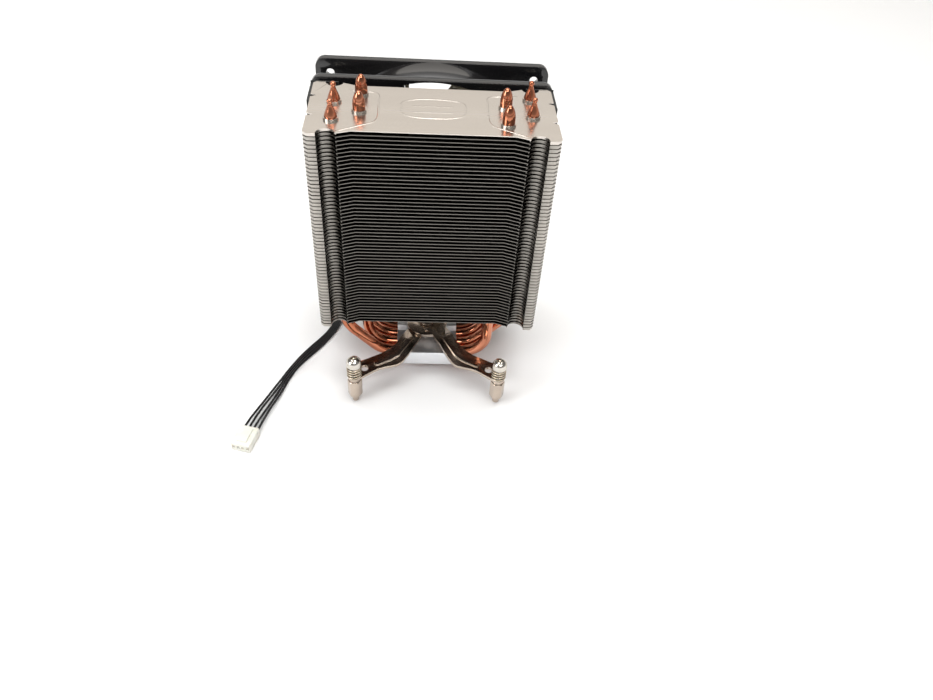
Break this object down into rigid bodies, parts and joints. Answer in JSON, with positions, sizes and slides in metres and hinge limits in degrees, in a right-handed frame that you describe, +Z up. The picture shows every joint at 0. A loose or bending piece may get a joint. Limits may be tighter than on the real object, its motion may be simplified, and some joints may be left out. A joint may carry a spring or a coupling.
{
  "type": "processor tower cooler",
  "caption": "Upright tower cooler for a computer processor: copper heat pipes through a stack of aluminium fins, a crossing bracket with spring screws and a clip-on fan with its lead.",
  "frame": {"origin": "centre of the contact face on the underside of the base block, where it meets the processor", "axes": "+Z up the fin stack, away from the processor; +Y from the fins to the fan; +X to the right seen from the side without the fan"},
  "size_m": [0.1629, 0.1493, 0.168],
  "materials": {
    "block_aluminium": "milled, fine satin",
    "fin_aluminium": "rolled sheet, satin",
    "pipe_copper": "polished copper",
    "smoked_nickel": "black nickel plating, bright edges",
    "bright_nickel": "polished nickel plating",
    "spring_steel": "drawn wire, nickel plated",
    "core_steel": "plain steel",
    "bearing_bronze": "sintered bronze",
    "winding_copper": "enamelled wire",
    "board_laminate": "glass laminate",
    "magnet_compound": "bonded ferrite",
    "frame_plastic": "gloss black moulding",
    "smoke_plastic": "smoked clear moulding",
    "clip_plastic": "black moulding",
    "pad_rubber": "soft black rubber",
    "lead_pvc": "black insulation",
    "plug_nylon": "natural nylon"
  },
  "bodies": {
    "tower": {"base_block": "block_aluminium", "bracket_pivot": "smoked_nickel", "heat_pipe_1": "pipe_copper", "heat_pipe_2": "pipe_copper", "heat_pipe_3": "pipe_copper", "heat_pipe_4": "pipe_copper", "fin_stack": "fin_aluminium", "top_fin": "fin_aluminium", "fan_frame": "frame_plastic", "bearing_sleeve": "bearing_bronze", "circuit_board": "board_laminate", "stator_core": "core_steel", "stator_coils": "winding_copper", "fan_clip_left": "clip_plastic", "fan_clip_right": "clip_plastic", "vibration_pads": "pad_rubber", "clip_screws": "bright_nickel", "fan_lead": "lead_pvc", "lead_plug": "plug_nylon", "plug_contacts": "bearing_bronze"},
    "rotor": {"fan_rotor": "smoke_plastic", "rotor_yoke": "core_steel", "rotor_magnet": "magnet_compound", "rotor_shaft": "core_steel"},
    "arm_lower": {"bracket_arm_lower": "smoked_nickel", "spring_front_left": "spring_steel", "spring_rear_right": "spring_steel"},
    "arm_upper": {"bracket_arm_upper": "smoked_nickel", "spring_front_right": "spring_steel", "spring_rear_left": "spring_steel"},
    "post_front_left": {"standoff_front_left": "smoked_nickel"},
    "turn_front_left": {"screw_front_left": "bright_nickel", "retaining_ring_front_left": "core_steel"},
    "post_front_right": {"standoff_front_right": "smoked_nickel"},
    "turn_front_right": {"screw_front_right": "bright_nickel", "retaining_ring_front_right": "core_steel"},
    "post_rear_left": {"standoff_rear_left": "smoked_nickel"},
    "turn_rear_left": {"screw_rear_left": "bright_nickel", "retaining_ring_rear_left": "core_steel"},
    "post_rear_right": {"standoff_rear_right": "smoked_nickel"},
    "turn_rear_right": {"screw_rear_right": "bright_nickel", "retaining_ring_rear_right": "core_steel"}
  },
  "joints": [
    {"name": "rotor_spin", "type": "hinge", "parent": "tower", "child": "rotor", "pos_m": [0, 0.039, 0.0908], "axis": [0, 1, 0], "continuous": true},
    {"name": "bracket_swing", "type": "hinge", "parent": "tower", "child": "arm_upper", "pos_m": [0, 0, 0.014], "axis": [0, 0, -1], "range_deg": [0, 18.4]},
    {"name": "bracket_swing_lower", "type": "hinge", "parent": "tower", "child": "arm_lower", "pos_m": [0, 0, 0.0126], "axis": [0, 0, 1], "range_deg": [0, 18.4]},
    {"name": "spring_front_left_travel", "type": "slide", "parent": "arm_lower", "child": "post_front_left", "axis": [0, 0, -1], "range_m": [0, 0.0025], "stiffness_N_per_m": 3000, "springref_m": -0.0005, "deforming": ["spring_front_left"]},
    {"name": "screw_front_left_turn", "type": "hinge", "parent": "post_front_left", "child": "turn_front_left", "pos_m": [-0.04, -0.04, 0.01], "axis": [0, 0, 1], "continuous": true},
    {"name": "spring_front_right_travel", "type": "slide", "parent": "arm_upper", "child": "post_front_right", "axis": [0, 0, -1], "range_m": [0, 0.0025], "stiffness_N_per_m": 3000, "springref_m": -0.0005, "deforming": ["spring_front_right"]},
    {"name": "screw_front_right_turn", "type": "hinge", "parent": "post_front_right", "child": "turn_front_right", "pos_m": [0.04, -0.04, 0.01], "axis": [0, 0, 1], "continuous": true},
    {"name": "spring_rear_left_travel", "type": "slide", "parent": "arm_upper", "child": "post_rear_left", "axis": [0, 0, -1], "range_m": [0, 0.0025], "stiffness_N_per_m": 3000, "springref_m": -0.0005, "deforming": ["spring_rear_left"]},
    {"name": "screw_rear_left_turn", "type": "hinge", "parent": "post_rear_left", "child": "turn_rear_left", "pos_m": [-0.04, 0.04, 0.01], "axis": [0, 0, 1], "continuous": true},
    {"name": "spring_rear_right_travel", "type": "slide", "parent": "arm_lower", "child": "post_rear_right", "axis": [0, 0, -1], "range_m": [0, 0.0025], "stiffness_N_per_m": 3000, "springref_m": -0.0005, "deforming": ["spring_rear_right"]},
    {"name": "screw_rear_right_turn", "type": "hinge", "parent": "post_rear_right", "child": "turn_rear_right", "pos_m": [0.04, 0.04, 0.01], "axis": [0, 0, 1], "continuous": true}
  ],
  "couplings": [
    {"joint": "bracket_swing_lower", "follows": "bracket_swing", "ratio": 1}
  ]
}
